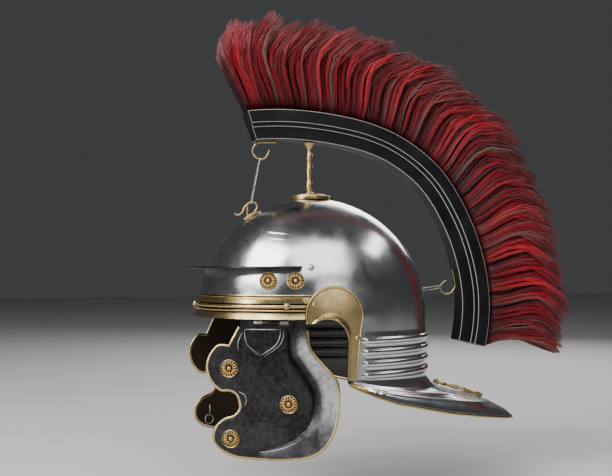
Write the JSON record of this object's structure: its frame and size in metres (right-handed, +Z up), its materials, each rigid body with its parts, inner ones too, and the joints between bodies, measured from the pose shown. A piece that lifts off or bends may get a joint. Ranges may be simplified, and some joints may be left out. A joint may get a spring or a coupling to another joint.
{
  "type": "roman legionary helmet",
  "caption": "Roman legionary helmet: domed steel bowl with brow guard, hinged cheek guards, sloping neck guard with a carrying handle, and a tall hair crest on a post.",
  "frame": {"origin": "inside of the bowl's crown, where the helmet sits on the head", "axes": "the helmet faces -Y, the wearer's left is +X, +Z is up"},
  "size_m": [0.2288, 0.4241, 0.4377],
  "materials": {
    "polished_steel": "hand polished, slightly hammered",
    "dark_steel": "darkened, soft sheen",
    "brass": "cast and beaten, satin",
    "black_lacquer": "black satin lacquer",
    "red_hair": "dyed horsehair in loose locks",
    "iron_wire": "drawn wire, dull"
  },
  "bodies": {
    "helmet": {"bowl": "polished_steel", "brow_guard": "polished_steel", "brow_guard_bolt_left": "polished_steel", "brow_guard_bolt_right": "polished_steel", "brow_band": "brass", "band_stud_front": "brass", "band_stud_left": "brass", "band_stud_right": "brass", "ear_guard_left": "brass", "ear_guard_right": "brass", "ear_rivet_upper_left": "brass", "ear_rivet_lower_left": "brass", "ear_rivet_upper_right": "brass", "ear_rivet_lower_right": "brass", "neck_trim": "brass", "neck_stud_1_left": "brass", "neck_stud_2_left": "brass", "neck_stud_1_right": "brass", "neck_stud_2_right": "brass", "handle_eyelet_left": "iron_wire", "handle_eyelet_right": "iron_wire", "bowl_rosette_front_left": "brass", "bowl_rosette_rear_left": "brass", "bowl_rosette_front_right": "brass", "bowl_rosette_rear_right": "brass", "cheek_hinge_left": "iron_wire", "cheek_hinge_right": "iron_wire", "crest_base_plate": "brass", "crest_post": "brass", "crest_box": "black_lacquer", "crest_hook_front": "brass", "crest_hook_rear": "brass", "crest_link_front": "iron_wire", "crest_link_rear": "iron_wire", "bowl_hook_front": "brass", "bowl_hook_rear": "brass", "plume_1": "red_hair", "plume_2": "red_hair", "plume_3": "red_hair", "plume_4": "red_hair", "plume_5": "red_hair", "plume_6": "red_hair", "plume_7": "red_hair"},
    "cheek_left": {"cheek_guard_left": "dark_steel", "cheek_trim_left": "brass", "cheek_rosette_upper_left": "brass", "cheek_rosette_middle_left": "brass", "cheek_rosette_lower_left": "brass", "tie_staple_left": "iron_wire", "tie_ring_left": "iron_wire"},
    "cheek_right": {"cheek_guard_right": "dark_steel", "cheek_trim_right": "brass", "cheek_rosette_upper_right": "brass", "cheek_rosette_middle_right": "brass", "cheek_rosette_lower_right": "brass", "tie_staple_right": "iron_wire", "tie_ring_right": "iron_wire"},
    "handle": {"carrying_handle": "brass"}
  },
  "joints": [
    {"name": "cheek_hinge_left", "type": "hinge", "parent": "helmet", "child": "cheek_left", "pos_m": [0.0859, -0.05523, -0.1205], "axis": [-0.3537, -0.9354, 0], "range_deg": [-20, 90]},
    {"name": "cheek_hinge_right", "type": "hinge", "parent": "helmet", "child": "cheek_right", "pos_m": [-0.0859, -0.05523, -0.1205], "axis": [-0.3537, 0.9354, 0], "range_deg": [-20, 90]},
    {"name": "handle_hinge", "type": "hinge", "parent": "helmet", "child": "handle", "pos_m": [0, 0.156, -0.19722], "axis": [1, 0, 0], "range_deg": [0, 170]}
  ]
}
